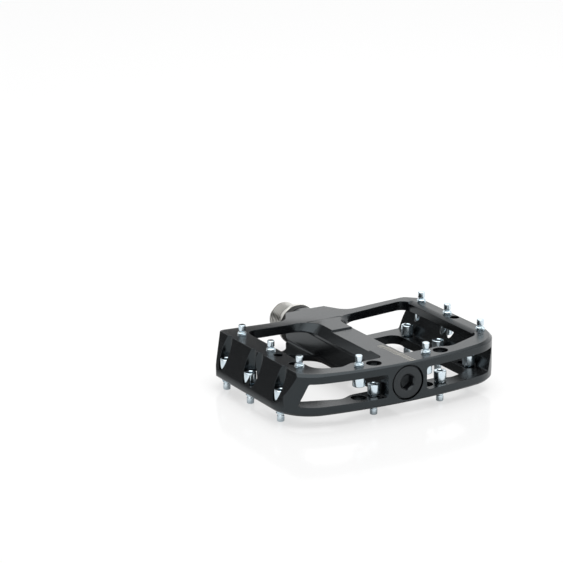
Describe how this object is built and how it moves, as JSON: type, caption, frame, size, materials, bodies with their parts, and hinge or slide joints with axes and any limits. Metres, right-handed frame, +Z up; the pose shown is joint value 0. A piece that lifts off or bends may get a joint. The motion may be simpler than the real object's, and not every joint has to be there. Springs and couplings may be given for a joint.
{
  "type": "flat pedal",
  "caption": "Flat bicycle pedal: a thin machined platform with traction pins that turns on a threaded spindle with a bush and ball bearings.",
  "frame": {"origin": "on the spindle's axis at the crank face of its flange", "axes": "+X outboard along the spindle, +Y forward, +Z up, the platform level"},
  "size_m": [0.1054, 0.1064, 0.028],
  "materials": {
    "black_anodised_body": "satin black anodised",
    "black_anodised_cap": "satin black anodised",
    "spindle_steel": "turned and satin plated",
    "zinc_plated_pins": "bright blue-white zinc plate",
    "seal_rubber": "black moulded",
    "bush_polymer": "moulded",
    "bearing_steel": "ground",
    "cage_brass": "pressed",
    "nut_steel": "plated"
  },
  "bodies": {
    "spindle": {"spindle": "spindle_steel", "lock_washer": "nut_steel", "lock_nut": "nut_steel", "inboard_bearing_inner_race": "bearing_steel", "outboard_bearing_inner_race": "bearing_steel"},
    "platform": {"platform_body": "black_anodised_body", "dust_seal": "seal_rubber", "plain_bush": "bush_polymer", "end_cap": "black_anodised_cap", "end_cap_o_ring": "seal_rubber", "inboard_bearing_outer_race": "bearing_steel", "inboard_bearing_shields": "seal_rubber", "outboard_bearing_outer_race": "bearing_steel", "outboard_bearing_shields": "seal_rubber", "ramp_pins_upper": "zinc_plated_pins", "ramp_pins_lower": "zinc_plated_pins", "lip_pins_upper": "zinc_plated_pins", "lip_pins_lower": "zinc_plated_pins", "arch_pins_upper": "zinc_plated_pins", "arch_pins_lower": "zinc_plated_pins"},
    "ball_set": {"inboard_bearing_balls": "bearing_steel", "inboard_bearing_cage": "cage_brass", "outboard_bearing_balls": "bearing_steel", "outboard_bearing_cage": "cage_brass"}
  },
  "joints": [
    {"name": "platform_spin", "type": "hinge", "parent": "spindle", "child": "platform", "pos_m": [0, 0, 0], "axis": [1, 0, 0], "continuous": true},
    {"name": "ball_set_spin", "type": "hinge", "parent": "spindle", "child": "ball_set", "pos_m": [0, 0, 0], "axis": [1, 0, 0], "continuous": true}
  ],
  "couplings": [
    {"joint": "ball_set_spin", "follows": "platform_spin", "ratio": 0.6263}
  ]
}
